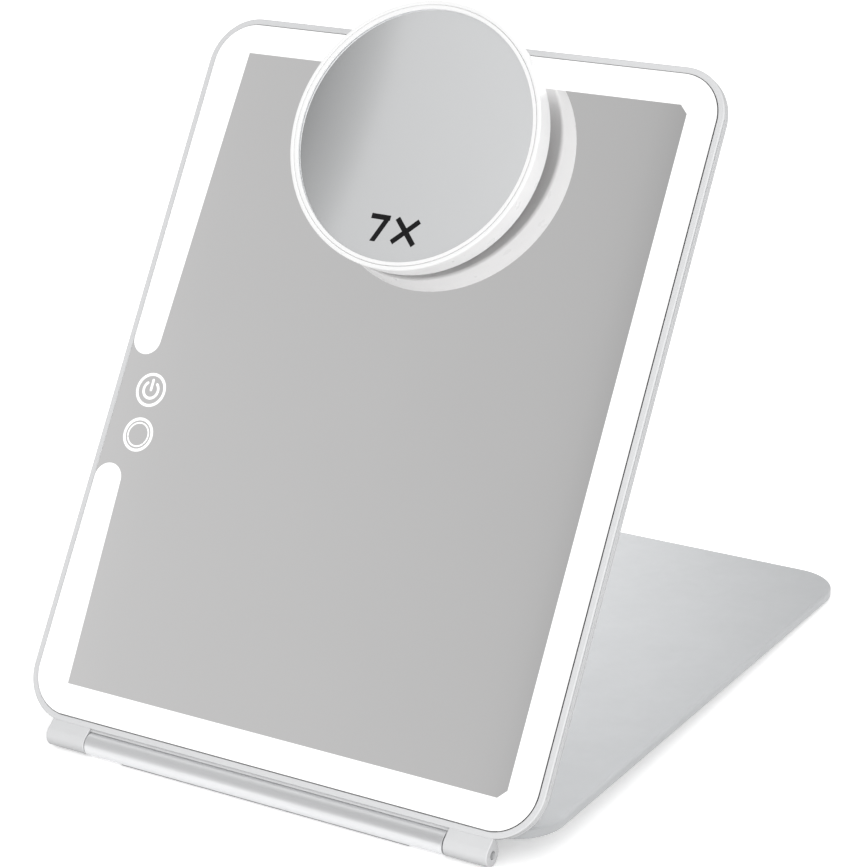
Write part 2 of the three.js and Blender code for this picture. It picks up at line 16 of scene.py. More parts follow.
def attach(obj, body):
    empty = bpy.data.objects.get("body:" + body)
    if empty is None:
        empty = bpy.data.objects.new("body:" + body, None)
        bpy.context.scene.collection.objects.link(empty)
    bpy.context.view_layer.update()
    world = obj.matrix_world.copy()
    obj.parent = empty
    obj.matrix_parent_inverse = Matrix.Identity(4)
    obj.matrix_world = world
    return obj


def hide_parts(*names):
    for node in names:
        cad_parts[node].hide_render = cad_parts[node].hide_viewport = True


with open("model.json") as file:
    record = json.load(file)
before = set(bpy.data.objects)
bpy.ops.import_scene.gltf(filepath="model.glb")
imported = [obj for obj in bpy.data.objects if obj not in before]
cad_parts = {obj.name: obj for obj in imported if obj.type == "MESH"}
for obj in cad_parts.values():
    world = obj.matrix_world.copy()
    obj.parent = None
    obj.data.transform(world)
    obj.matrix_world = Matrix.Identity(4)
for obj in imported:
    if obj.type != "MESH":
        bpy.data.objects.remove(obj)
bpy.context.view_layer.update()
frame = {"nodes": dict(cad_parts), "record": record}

# A millimetre, the gap that pieces keep between them, and a length beyond the object
MM = 0.001
CLEARANCE = 0.3
FAR = 400

# Steps in which each kind of round is made
CORNER_STEPS = 24
ROUNDING_STEPS = 5
CIRCLE_STEPS = 160
BARREL_STEPS = 128
CUP_STEPS = 96
ROD_STEPS = 96
DISC_STEPS = 64
LUG_STEPS = 64
PRINT_STEPS_IN_HALF_TURN = 64
PRINT_STEPS_LEAST = 12
PRINT_END_STEPS = 8
STROKE_STEPS = 16

# Edges that are sharp, and how close counts as the same place, in metres
SHARP_ANGLE = math.radians(28)
SAME_PLACE = 1e-7

# Panel
GLASS_CORNER = 14.5
GLASS_CHAMFER = 0.12
GLASS_PROUD = 0.3
RIM_ROUNDING = 0.45
RIM_LIP_ROUNDING = 0.2
BACK_ROUNDING = 2.6
LEDGE_WIDTH = 2.0
GLASS_GAP = 0.2
SIDE_GROOVE_DEPTH = 0.6
SIDE_GROOVE_WIDTH = 0.7
SIDE_GROOVE_END_SHARE = 0.49
SIDE_GROOVE_FROM_GLASS_END = 13.3
SEAM = 0.4
SHELL_FLOOR = 1.2
SHELL_LIP_ROUNDING = 0.15
RELIEF_DEPTH = 1.7
RELIEF_SHORT_OF_LAMPS = 5.3
SOCKET_HALF_WIDTH = 4.45
SOCKET_HALF_THICKNESS = 1.3
SOCKET_CORNER_SHARE = 0.9

# Hinge
BARREL_RADIUS = 3.85
BARREL_WALL = 1.35
BARREL_CHAMFER = 0.25
BARREL_LIP_GAP = 0.1
LUG_INSET = 13.3
LUG_LENGTH = 15.5
LUG_BORE_RADIUS = 1.4
LUG_BORE_OVERCUT = 1
LUG_ROUNDING = 0.35

# Lit band on the glass, and the marks in its gap
BAND_EDGE = 0.15
BAND_WIDTH = 10.3
BAND_WIDTH_LEFT_FAR = 13.2
BAND_WIDTH_LEFT_GAP = 10.9
BAND_CORNER_CUT = 2.8
BAND_OUTER_CORNER = 14.3
BAND_PROUD = 0.03
GAP_LOW = 85.2
GAP_HIGH = 123.7
MARK_INSET = 12.6
POWER_UP = 112.1
MODE_UP = 96.4
MARK_RADIUS = 5.4
MARK_STROKE = 1.0
POWER_RADIUS = 2.9
POWER_STROKE = 0.95
POWER_BAR_ABOVE = 1.0
POWER_OPENING = math.radians(82)
MODE_RADIUS = 4.05
MODE_STROKE = 0.55
MODE_ARCS = 3
MODE_GAP = math.radians(9)
MODE_FIRST_GAP = math.radians(78)

# Cover
SHUT_GAP = 0.7
COVER_CORNER = 17
COVER_ROUNDING = 0.9
COVER_WALL = 2.0
COVER_FRONT = 3.9
HOLLOW_FRONT = 13
NECK_FOOT = 2.0
NECK_OVERLAP = 3
NECK_INSET = 0.01
LINER_THICKNESS = 1.0
BUMPER_RADIUS = 5
BACK_STOP = math.radians(2.5)

# Suction cup
CUP_RADIUS = 16
CUP_TOP_RADIUS = 7.5
CUP_HOLLOW = 1.25
CUP_WALL = 0.9
CUP_LIP = 0.8
CUP_PLAY = 0.5

# Magnifier, placed from the middle of the top edge of the glass
MAGNIFIER_ACROSS = -1.3
MAGNIFIER_DOWN = 34.9
MAGNIFIER_TILT_DOWN = math.radians(3.1)
MAGNIFIER_TILT_ASIDE = math.radians(1.2)
MAGNIFIER_TURN = math.radians(5)
MAGNIFIER_RADIUS = 45.1
MAGNIFIER_DRAFT = 0.6
MAGNIFIER_WALL = 1.5
MAGNIFIER_FLOOR = 3.2
MAGNIFIER_BACK_ROUNDING = 1.0
LENS_SEAT = 2.6
LENS_THICKNESS = 2.5
LENS_CURVE_RADIUS = 385
LENS_RINGS = 28
RING_WIDTH = 1.0
RING_THICKNESS = 1.1
RING_ROUNDING = 0.3
RING_SETBACK = 0.2
RING_PLAY = 0.05
BOSS_RADIUS = 11
BOSS_HEIGHT = 0.6
STUD_RADIUS = 3.8
STUD_LENGTH = 1.6

# Magnification figure, from the middle of the lens
FIGURE_HEIGHT = 9.3
FIGURE_STROKE = 1.8
FIGURE_PROUD = 0.03
FIGURE_TOP = -26.8
FIGURE_LEFT = -9.0
SEVEN_WIDTH = 7.0
SEVEN_FOOT = 2.6
TIMES_UP = 0.6
TIMES_LEFT = 0.6
TIMES_SIZE = 8.2

# Camera, fitted to the photograph
CAMERA_PLACE = (0.4460, -0.6221, 0.4182)
CAMERA_HEADING = math.radians(31.38)
CAMERA_PITCH = math.radians(-21.06)
CAMERA_ROLL = math.radians(-1.33)
CAMERA_LENS = 112.8
CAMERA_NEAREST = 0.01
SENSOR_WIDTH = 36

# Shading: the ends between which noise is spread, and those between which a mottle runs
NOISE_ENDS = (0.25, 0.75)
MOTTLE_ENDS = (0.3, 0.7)

# Studio
FLOOR_HALF = 8
FLOOR_SHADE = 0.95
FLOOR_ROUGHNESS = 0.9
FLOOR_LIFT = 0.4
SCREEN_WIDTH = 6.0
SCREEN_HEIGHT = 5.0
SCREEN_PLACE = (-1.28, -1.67, 1.6)
SCREEN_AIM = (0, 0.06, 0.12)
SCREEN_ROLL = math.radians(-20.6)
SCREEN_FALL = 0.235
RIGHT_LAMP_PLACE = (2.1, -0.7, 0.45)
RIGHT_LAMP_AIM = (0, 0.08, 0.1)
RIGHT_LAMP_POWER = 8
RIGHT_LAMP_SIZE = 1.0
COVER_LAMP_PLACE = (0, 0.6, 0.9)
COVER_LAMP_AIM = (-0.66, -0.24, 0)
COVER_LAMP_POWER = 40
COVER_LAMP_SPREAD = math.radians(80)
COVER_LAMP_BLEND = 0.345
COVER_LAMP_SOFTNESS = 0.05

# The screen's glow along its width, as pairs of a place from 0 to 1 and a level
SCREEN_GLOW = [
    (0, 0.05), (0.423, 0.22), (0.437, 0.31), (0.448, 0.37), (0.458, 0.47), (0.466, 0.56),
    (0.483, 0.57), (0.507, 0.59), (0.55, 0.62), (0.567, 0.67), (1, 0.72),
]


# Places

def widest_face_normal(node):
    """The normal of a node's widest face, turned to point up."""
    mesh = frame["nodes"][node].data
    normal = max(mesh.polygons, key=lambda face: face.area).normal.copy()
    return normal if normal.z > 0 else -normal


def tilted_frame(origin, normal):
    """The frame at an origin whose x stays level and whose z is that normal."""
    across = Vector((1, 0, 0))
    up = normal.cross(across)
    turn = Matrix((across, up, normal)).transposed().to_4x4()
    return Matrix.Translation(origin) @ turn


def extent(node, place):
    """A node's lowest and highest corners in a tilted frame, in millimetres."""
    into = place.inverted()
    points = [into @ vertex.co / MM for vertex in frame["nodes"][node].data.vertices]
    low = Vector([min(p[i] for p in points) for i in range(3)])
    high = Vector([max(p[i] for p in points) for i in range(3)])
    return low, high


hinge = Vector(frame["record"]["behaviour"]["joints"][0]["pos_m"])
PANEL = tilted_frame(hinge, widest_face_normal("mirror_glass"))
COVER = tilted_frame(hinge, widest_face_normal("cover_stiffener"))

glass_low, glass_high = extent("mirror_glass", PANEL)
shell_low, shell_high = extent("rear_shell", PANEL)
strip_low, strip_high = extent("barrel_strip", Matrix.Identity(4))
frame_high = extent("front_frame", PANEL)[1]
cover_high = extent("cover_shell", COVER)[1]
stiffener_top = extent("cover_stiffener", COVER)[1].z

glass_half = glass_high.x
rim_width = frame_high.x - glass_half
cover_half = cover_high.x
panel_bottom = glass_low.y - rim_width
rim_front = glass_high.z - GLASS_PROUD
ledge_front = glass_low.z - CLEARANCE
frame_back = shell_high.z + SEAM
cover_under = glass_high.z + SHUT_GAP
lug_outer = frame_high.x - LUG_INSET
lug_inner = lug_outer - LUG_LENGTH
barrel_half = lug_inner - CLEARANCE
relief_start = Vector((panel_bottom, rim_front - RELIEF_DEPTH))
relief_end = Vector((glass_low.y + RELIEF_SHORT_OF_LAMPS, shell_low.z))


# Meshes

def settle(piece):
    """Marks the sharp edges and weights the normals, so that flat faces stay flat."""
    shape = bmesh.new()
    shape.from_mesh(piece.data)
    bmesh.ops.recalc_face_normals(shape, faces=shape.faces)
    for face in shape.faces:
        face.smooth = True
    for edge in shape.edges:
        edge.smooth = edge.calc_face_angle(math.pi) < SHARP_ANGLE
    shape.to_mesh(piece.data)
    shape.free()
    weigh = piece.modifiers.new("weigh", "WEIGHTED_NORMAL")
    weigh.keep_sharp = True
    apply_modifiers(piece)


def apply_modifiers(piece):
    depsgraph = bpy.context.evaluated_depsgraph_get()
    made = bpy.data.meshes.new_from_object(piece.evaluated_get(depsgraph))
    piece.modifiers.clear()
    piece.data = made


def combine(piece, other, operation):
    """Cuts another solid out of a piece or joins it on, and deletes that solid."""
    modifier = piece.modifiers.new("combine", "BOOLEAN")
    modifier.operation = operation
    modifier.solver = "EXACT"
    modifier.object = other
    apply_modifiers(piece)
    bpy.data.objects.remove(other)


def skin(name, rings, closed=False):
    """A solid through rings of points. A ring of one point is a pole."""
    shape = bmesh.new()
    made = [[shape.verts.new(Vector(point) * MM) for point in ring] for ring in rings]
    pairs = list(zip(made, made[1:]))
    if closed:
        pairs.append((made[-1], made[0]))
    for lower, upper in pairs:
        count = max(len(lower), len(upper))
        for i in range(count):
            j = (i + 1) % count
            corners = [
                lower[i % len(lower)], lower[j % len(lower)],
                upper[j % len(upper)], upper[i % len(upper)],
            ]
            shape.faces.new(list(dict.fromkeys(corners)))
    if not closed:
        for ring in (made[0], made[-1]):
            if len(ring) > 2:
                shape.faces.new(ring)
    bmesh.ops.recalc_face_normals(shape, faces=shape.faces)
    mesh = bpy.data.meshes.new(name)
    shape.to_mesh(mesh)
    shape.free()
    piece = bpy.data.objects.new(name, mesh)
    bpy.context.collection.objects.link(piece)
    return piece


def arc(center, radius, start, end, steps):
    """Points on an arc, with both ends."""
    points = []
    for i in range(steps + 1):
        angle = start + (end - start) * i / steps
        points.append((center[0] + radius * math.cos(angle), center[1] + radius * math.sin(angle)))
    return points


def rounded_rectangle(left, bottom, right, top, radius):
    centers = [
        (right - radius, bottom + radius), (right - radius, top - radius),
        (left + radius, top - radius), (left + radius, bottom + radius),
    ]
    points = []
    for i, center in enumerate(centers):
        start = (i - 1) * math.pi / 2
        points += arc(center, radius, start, start + math.pi / 2, CORNER_STEPS)
    return points


def glass_outline(growth):
    return rounded_rectangle(
        -glass_half - growth, glass_low.y - growth,
        glass_half + growth, glass_high.y + growth, GLASS_CORNER + growth,
    )


def cover_outline(inset, front):
    return rounded_rectangle(
        -cover_half + inset, front, cover_half - inset, cover_high.y - inset,
        COVER_CORNER - inset,
    )


def at_height(outline, height):
    return [(x, y, height) for x, y in outline]


def round_the_glass(section):
    """Rings along the glass's outline, one for each (growth, height) pair of a section."""
    return [at_height(glass_outline(growth), height) for growth, height in section]


def slab(name, outline, low, high):
    return skin(name, [at_height(outline, low), at_height(outline, high)])


def bar(name, section, left, right):
    """A section of (y, z) points, swept along x."""
    return skin(name, [[(x, y, z) for y, z in section] for x in (left, right)])


def rounded_bar(name, section, left, right, rounding):
    """A bar whose edges at both ends are rounded."""
    piece = bar(name, section, left, right)
    shape = bmesh.new()
    shape.from_mesh(piece.data)
    ends = (left * MM, right * MM)
    at_an_end = [
        edge for edge in shape.edges
        if any(all(abs(v.co.x - x) < SAME_PLACE for v in edge.verts) for x in ends)
    ]
    bmesh.ops.bevel(
        shape, geom=at_an_end, offset=rounding * MM, segments=ROUNDING_STEPS,
        profile=0.5, affect="EDGES",
    )
    shape.to_mesh(piece.data)
    shape.free()
    return piece


def circle(radius, steps=CIRCLE_STEPS):
    return arc((0, 0), radius, 0, 2 * math.pi * (steps - 1) / steps, steps - 1)


def turned(name, profile, steps=CIRCLE_STEPS, closed=False):
    """A profile of (radius, height) pairs, turned round z."""
    rings = []
    for radius, height in profile:
        outline = circle(radius, steps) if radius > 0 else [(0, 0)]
        rings.append(at_height(outline, height))
    return skin(name, rings, closed)


def disc(name, center, radius, low, high):
    outline = [(center[0] + x, center[1] + y) for x, y in circle(radius, DISC_STEPS)]
    return slab(name, outline, low, high)


def hinge_rod(name, radius, left, right):
    return bar(name, circle(radius, ROD_STEPS), left, right)


def put(piece, place, body, material, replaces=()):
    """Finishes a piece and hands it to the body that it moves with."""
    piece.data.transform(place)
    settle(piece)
    piece.data.materials.clear()
    piece.data.materials.append(material)
    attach(piece, body)
    if replaces:
        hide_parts(*replaces)
    return piece


# Materials

def new_material(name):
    material = bpy.data.materials.new(name)
    material.use_nodes = True
    return material


def spread(tree, value, ends, new_ends, clamp=True):
    """Maps a value from one pair of ends onto another, in a material's node tree."""
    node = tree.nodes.new("ShaderNodeMapRange")
    node.clamp = clamp
    names = ("From Min", "From Max", "To Min", "To Max")
    for name, level in zip(names, (*ends, *new_ends)):
        node.inputs[name].default_value = level
    tree.links.new(value, node.inputs["Value"])
    return node.outputs["Result"]


class Finish:
    """A material with one glossy shader, to which variation is added in layers."""

    def __init__(self, name, color, roughness, metallic=0.0, specular=0.5):
        self.material = new_material(name)
        self.tree = self.material.node_tree
        self.nodes, self.links = self.tree.nodes, self.tree.links
        self.inputs = self.nodes["Principled BSDF"].inputs
        self.color = color
        self.inputs["Base Color"].default_value = (*color, 1)
        self.inputs["Roughness"].default_value = roughness
        self.inputs["Metallic"].default_value = metallic
        self.inputs["Specular IOR Level"].default_value = specular
        self.coordinates = self.nodes.new("ShaderNodeTexCoord").outputs["Object"]

    def noise(self, size, detail, stretch=(1, 1, 1)):
        """Noise with grains about that many millimetres across, drawn out by a stretch."""
        mapping = self.nodes.new("ShaderNodeMapping")
        mapping.inputs["Scale"].default_value = [1 / factor for factor in stretch]
        noise = self.nodes.new("ShaderNodeTexNoise")
        noise.inputs["Scale"].default_value = 1 / (size * MM)
        noise.inputs["Detail"].default_value = detail
        self.links.new(self.coordinates, mapping.inputs["Vector"])
        self.links.new(mapping.outputs["Vector"], noise.inputs["Vector"])
        return noise.outputs["Fac"]

    def mottle(self, amount, size, stretch=(1, 1, 1)):
        """The colour grows lighter and darker by a share of itself."""
        ramp = self.nodes.new("ShaderNodeValToRGB")
        dark, light = ramp.color_ramp.elements
        dark.position, light.position = MOTTLE_ENDS
        dark.color = (*[c * (1 - amount) for c in self.color], 1)
        light.color = (*[min(c * (1 + amount), 1) for c in self.color], 1)
        noise = self.noise(size, detail=3, stretch=stretch)
        self.links.new(noise, ramp.inputs["Fac"])
        self.links.new(ramp.outputs["Color"], self.inputs["Base Color"])

    def uneven_gloss(self, low, high, size, stretch=(1, 1, 1)):
        """The roughness varies between two levels."""
        noise = self.noise(size, detail=5, stretch=stretch)
        self.links.new(spread(self.tree, noise, NOISE_ENDS, (low, high)), self.inputs["Roughness"])

    def grain(self, height, size, stretch=(1, 1, 1)):
        """A relief of that height in millimetres."""
        bump = self.nodes.new("ShaderNodeBump")
        bump.inputs["Strength"].default_value = 1.0
        bump.inputs["Distance"].default_value = height * MM
        self.links.new(self.noise(size, detail=2, stretch=stretch), bump.inputs["Height"])
        self.links.new(bump.outputs["Normal"], self.inputs["Normal"])

    def painted_turned_away_shade(self, share):
        """Painted shade: the colour darkens by a share where the surface turns away from the eye,
        so side walls look shaded.
        """
        turned_away = self.nodes.new("ShaderNodeLayerWeight").outputs["Facing"]
        level = spread(self.tree, turned_away, (0, 1), (1, 1 - share))
        darker = self.nodes.new("ShaderNodeVectorMath")
        darker.operation = "SCALE"
        self.links.new(self.inputs["Base Color"].links[0].from_socket, darker.inputs[0])
        self.links.new(level, darker.inputs["Scale"])
        self.links.new(darker.outputs["Vector"], self.inputs["Base Color"])

    def glow(self, low, high, size):
        """Light from the surface, slightly uneven."""
        self.inputs["Emission Color"].default_value = (1, 1, 1, 1)
        level = spread(self.tree, self.noise(size, detail=1), NOISE_ENDS, (low, high))
        self.links.new(level, self.inputs["Emission Strength"])


def satin_frame():
    finish = Finish("satin_frame", (0.81, 0.815, 0.825), roughness=0.4, metallic=0.08)
    finish.mottle(0.01, size=9)
    # painted shade: the frame's colour darkens where it turns away from the eye
    finish.painted_turned_away_shade(0.6)
    finish.uneven_gloss(0.35, 0.45, size=3)
    finish.grain(0.006, size=0.22)
    return finish.material


def satin_shell():
    finish = Finish("satin_shell", (0.76, 0.765, 0.775), roughness=0.42, metallic=0.15)
    finish.mottle(0.012, size=12)
    # painted shade: the shell's colour darkens where it turns away from the eye
    finish.painted_turned_away_shade(0.6)
    finish.uneven_gloss(0.36, 0.48, size=3)
    finish.grain(0.008, size=0.22)
    return finish.material


def satin_cover():
    finish = Finish("satin_cover", (0.445, 0.453, 0.462), roughness=0.4, metallic=0.25)
    finish.mottle(0.015, size=12)
    finish.uneven_gloss(0.38, 0.47, size=4)
    finish.grain(0.006, size=0.25)
    return finish.material


def brushed_barrel():
    finish = Finish("brushed_barrel", (0.755, 0.76, 0.77), roughness=0.38, metallic=0.7)
    along = (60, 1, 1)
    finish.mottle(0.02, size=0.6, stretch=along)
    finish.uneven_gloss(0.34, 0.42, size=0.4, stretch=along)
    finish.grain(0.003, size=0.12, stretch=along)
    return finish.material


def silvered_glass():
    finish = Finish("silvered_glass", (0.87, 0.865, 0.865), roughness=0.02, metallic=1.0)
    finish.mottle(0.004, size=40)
    finish.uneven_gloss(0.012, 0.03, size=25)
    return finish.material


def silvered_lens():
    finish = Finish("silvered_lens", (0.965, 0.975, 0.985), roughness=0.05, metallic=0.86)
    finish.mottle(0.004, size=30)
    finish.uneven_gloss(0.04, 0.07, size=12)
    return finish.material


def lit_frosting():
    finish = Finish("lit_frosting", (0.35, 0.35, 0.35), roughness=0.45)
    finish.glow(0.8, 0.86, size=12)
    finish.grain(0.004, size=0.3)
    return finish.material


def gloss_white():
    finish = Finish("gloss_white", (0.94, 0.94, 0.94), roughness=0.3)
    finish.mottle(0.01, size=8)
    finish.uneven_gloss(0.26, 0.34, size=5)
    finish.grain(0.003, size=0.5)
    return finish.material


def soft_rubber():
    finish = Finish("soft_rubber", (0.48, 0.485, 0.49), roughness=0.8, specular=0.3)
    finish.mottle(0.05, size=2)
    finish.uneven_gloss(0.72, 0.9, size=1)
    finish.grain(0.03, size=0.25)
    return finish.material


def clear_vinyl():
    finish = Finish("clear_vinyl", (0.86, 0.88, 0.9), roughness=0.12)
    finish.inputs["Transmission Weight"].default_value = 0.85
    finish.inputs["IOR"].default_value = 1.45
    finish.mottle(0.02, size=4)
    finish.uneven_gloss(0.08, 0.18, size=2)
    return finish.material


def soft_lining():
    finish = Finish("soft_lining", (0.46, 0.47, 0.48), roughness=0.7, specular=0.3)
    finish.mottle(0.05, size=3)
    finish.uneven_gloss(0.62, 0.8, size=1.5)
    finish.grain(0.03, size=0.35)
    return finish.material


def plain_steel():
    finish = Finish("plain_steel", (0.56, 0.57, 0.58), roughness=0.28, metallic=1.0)
    finish.mottle(0.05, size=3)
    finish.uneven_gloss(0.2, 0.36, size=1)
    finish.grain(0.004, size=0.3)
    return finish.material


def black_print():
    finish = Finish("black_print", (0.012, 0.012, 0.013), roughness=0.4, specular=0.12)
    finish.mottle(0.2, size=1)
    finish.uneven_gloss(0.34, 0.46, size=0.8)
    return finish.material


def opal_plastic():
    finish = Finish("opal_plastic", (0.85, 0.85, 0.85), roughness=0.5)
    finish.mottle(0.02, size=5)
    finish.uneven_gloss(0.42, 0.58, size=2)
    return finish.material


def circuit_board():
    finish = Finish("circuit_board", (0.02, 0.11, 0.05), roughness=0.45)
    finish.mottle(0.4, size=1.5)
    finish.uneven_gloss(0.35, 0.55, size=1)
    finish.grain(0.02, size=0.6)
    return finish.material


def pouch_foil():
    finish = Finish("pouch_foil", (0.5, 0.51, 0.52), roughness=0.38, metallic=0.8)
    finish.mottle(0.06, size=6)
    finish.uneven_gloss(0.3, 0.48, size=3)
    finish.grain(0.03, size=2.5)
    return finish.material


# Panel pieces

def right_half(start, end):
    """A section of (y, z) points that covers all to the right of a line."""
    along = (end - start).normalized()
    across = Vector((along.y, -along.x))
    near = start - along * FAR
    far = end + along * FAR
    return [near, far, far + across * FAR, near + across * FAR]


def relief_cutter(wall):
    """What the sloping bottom edge leaves out of the panel, and a wall inside the slope."""
    along = (relief_end - relief_start).normalized()
    inwards = Vector((-along.y, along.x)) * wall
    section = right_half(relief_start + inwards, relief_end + inwards)
    return bar("relief_cutter", section, -FAR, FAR)


def socket_cutter():
    low, high = extent("charge_socket", PANEL)
    middle = (low.y + high.y) / 2
    center = (low.z + high.z) / 2
    half_width = SOCKET_HALF_WIDTH + CLEARANCE
    half_thickness = SOCKET_HALF_THICKNESS + CLEARANCE
    section = rounded_rectangle(
        middle - half_width, center - half_thickness,
        middle + half_width, center + half_thickness, SOCKET_CORNER_SHARE * half_thickness,
    )
    return bar("socket_cutter", section, -FAR, high.x + CLEARANCE)


def lug_section():
    """A drop round the hinge axis, drawn up into the frame's bottom edge."""
    root = panel_bottom + rim_width / 2
    back = Vector((root, relief_start.y))
    front = Vector((root, rim_front - RIM_ROUNDING))
    front_angle = math.atan2(front.y, front.x) + math.acos(BARREL_RADIUS / front.length)
    back_angle = math.atan2(back.y, back.x) - math.acos(BARREL_RADIUS / back.length)
    around = arc((0, 0), BARREL_RADIUS, front_angle, back_angle + 2 * math.pi, LUG_STEPS)
    return [tuple(front)] + around + [tuple(back)]


def side_groove_cutter():
    """A shallow groove along the right side, just behind the front edge, with round ends."""
    front = rim_front - RIM_ROUNDING
    back = front - SIDE_GROOVE_WIDTH
    low = glass_low.y + SIDE_GROOVE_FROM_GLASS_END
    high = glass_high.y - SIDE_GROOVE_FROM_GLASS_END
    rounding = SIDE_GROOVE_END_SHARE * SIDE_GROOVE_WIDTH
    section = rounded_rectangle(low, back, high, front, rounding)
    return bar("side_groove_cutter", section, frame_high.x - SIDE_GROOVE_DEPTH, FAR)


def barrel_lip():
    """A lip of the frame's bottom edge that closes round the barrel, clear of the cover's neck."""
    reach = BARREL_RADIUS + BARREL_LIP_GAP
    front = NECK_FOOT - CLEARANCE
    back = relief_start.y
    root = panel_bottom + rim_width / 2
    curve = arc((0, 0), reach, math.asin(back / reach), math.asin(front / reach), ROUNDING_STEPS)
    return bar("barrel_lip", [(root, back)] + curve + [(root, front)],
               -lug_inner - LUG_ROUNDING, lug_inner + LUG_ROUNDING)


def make_frame(material):
    outer = rim_width
    top = rim_front
    inner = GLASS_GAP
    section = [(outer, frame_back)]
    section += arc((outer - RIM_ROUNDING, top - RIM_ROUNDING), RIM_ROUNDING,
                   0, math.pi / 2, ROUNDING_STEPS)
    lip = RIM_LIP_ROUNDING
    section += arc((inner + lip, top - lip), lip, math.pi / 2, math.pi, ROUNDING_STEPS)
    section += [(inner, ledge_front), (-LEDGE_WIDTH, ledge_front), (-LEDGE_WIDTH, frame_back)]
    piece = skin("frame", round_the_glass(section), closed=True)
    combine(piece, relief_cutter(0), "DIFFERENCE")
    combine(piece, socket_cutter(), "DIFFERENCE")
    combine(piece, side_groove_cutter(), "DIFFERENCE")
    for sign in (-1, 1):
        left, right = sorted((sign * lug_inner, sign * lug_outer))
        lug = rounded_bar("lug", lug_section(), left, right, LUG_ROUNDING)
        bore = hinge_rod("bore", LUG_BORE_RADIUS,
                         left - LUG_BORE_OVERCUT, right + LUG_BORE_OVERCUT)
        combine(lug, bore, "DIFFERENCE")
        combine(piece, lug, "UNION")
    combine(piece, barrel_lip(), "UNION")
    return put(piece, PANEL, "panel", material, ["front_frame"])


def make_shell(material):
    outer = rim_width
    lip = SHELL_LIP_ROUNDING
    section = arc((outer - BACK_ROUNDING, shell_low.z + BACK_ROUNDING), BACK_ROUNDING,
                  1.5 * math.pi, 2 * math.pi, 2 * ROUNDING_STEPS)
    section += arc((outer - lip, shell_high.z - lip), lip, 0, math.pi / 2, ROUNDING_STEPS)
    piece = skin("back_shell", round_the_glass(section))
    chamber = slab("chamber", glass_outline(CLEARANCE), shell_low.z + SHELL_FLOOR, FAR)
    combine(chamber, relief_cutter(SHELL_FLOOR), "DIFFERENCE")
    combine(piece, relief_cutter(0), "DIFFERENCE")
    combine(piece, chamber, "DIFFERENCE")
    combine(piece, socket_cutter(), "DIFFERENCE")
    return put(piece, PANEL, "panel", material, ["rear_shell"])


def make_glass(material):
    back, front = glass_low.z, glass_high.z
    chamfer = GLASS_CHAMFER
    section = [(-chamfer, back), (0, back + chamfer), (0, front - chamfer), (-chamfer, front)]
    piece = skin("glass", round_the_glass(section))
    return put(piece, PANEL, "panel", material, ["mirror_glass"])


def band_corner(x, y, low_angle):
    """An outer corner of the band, round like the glass."""
    return arc((x, y), BAND_OUTER_CORNER, low_angle, low_angle + math.pi / 2, CORNER_STEPS)


def band_outline():
    """The lit band's outline: a broad C whose two ends, in the left side, are half circles."""
    left = -glass_half + BAND_EDGE
    right = glass_half - BAND_EDGE
    bottom = glass_low.y + BAND_EDGE
    top = glass_high.y - BAND_EDGE
    round_ = BAND_OUTER_CORNER
    inner_right = glass_half - BAND_WIDTH
    inner_bottom = glass_low.y + BAND_WIDTH
    inner_top = glass_high.y - BAND_WIDTH
    inner_left_far = -glass_half + BAND_WIDTH_LEFT_FAR
    inner_left_gap = -glass_half + BAND_WIDTH_LEFT_GAP
    end_radius = (inner_left_gap - left) / 2
    end_x = left + end_radius
    gap_low = glass_low.y + GAP_LOW
    gap_high = glass_low.y + GAP_HIGH
    cut = BAND_CORNER_CUT
    points = band_corner(left + round_, bottom + round_, math.pi)
    points += band_corner(right - round_, bottom + round_, 1.5 * math.pi)
    points += band_corner(right - round_, top - round_, 0)
    points += band_corner(left + round_, top - round_, 0.5 * math.pi)
    points += arc((end_x, gap_high + end_radius), end_radius, math.pi, 2 * math.pi, CORNER_STEPS)
    points += [(inner_left_far, inner_top), (inner_right - cut, inner_top)]
    points += [(inner_right, inner_top - cut), (inner_right, inner_bottom + cut)]
    points += [(inner_right - cut, inner_bottom), (inner_left_far, inner_bottom)]
    points += arc((end_x, gap_low - end_radius), end_radius, 0, math.pi, CORNER_STEPS)
    return points


def on_glass(name, outline):
    """A thin print just proud of the glass."""
    front = glass_high.z
    return slab(name, outline, front - BAND_PROUD, front + BAND_PROUD)


def print_ring(name, center, radius, stroke):
    """A thin ring on the glass."""
    low, high = glass_high.z, glass_high.z + BAND_PROUD
    inner, outer = radius - stroke / 2, radius + stroke / 2
    profile = [(inner, low), (outer, low), (outer, high), (inner, high)]
    piece = turned(name, profile, closed=True)
    piece.data.transform(Matrix.Translation(Vector((*center, 0)) * MM))
    return piece


def print_arc(name, center, radius, stroke, start, end):
    """A thin arc on the glass with round ends."""
    front = glass_high.z
    steps = max(PRINT_STEPS_LEAST, int(PRINT_STEPS_IN_HALF_TURN * (end - start) / math.pi))
    inner, outer = radius - stroke / 2, radius + stroke / 2
    caps = []
    for angle, first in ((end, end), (start, start + math.pi)):
        tip = (center[0] + radius * math.cos(angle), center[1] + radius * math.sin(angle))
        caps.append(arc(tip, stroke / 2, first, first + math.pi, PRINT_END_STEPS))
    outline = arc(center, outer, start, end, steps) + caps[0][1:-1]
    outline += arc(center, inner, end, start, steps) + caps[1][1:-1]
    return slab(name, outline, front, front + BAND_PROUD)


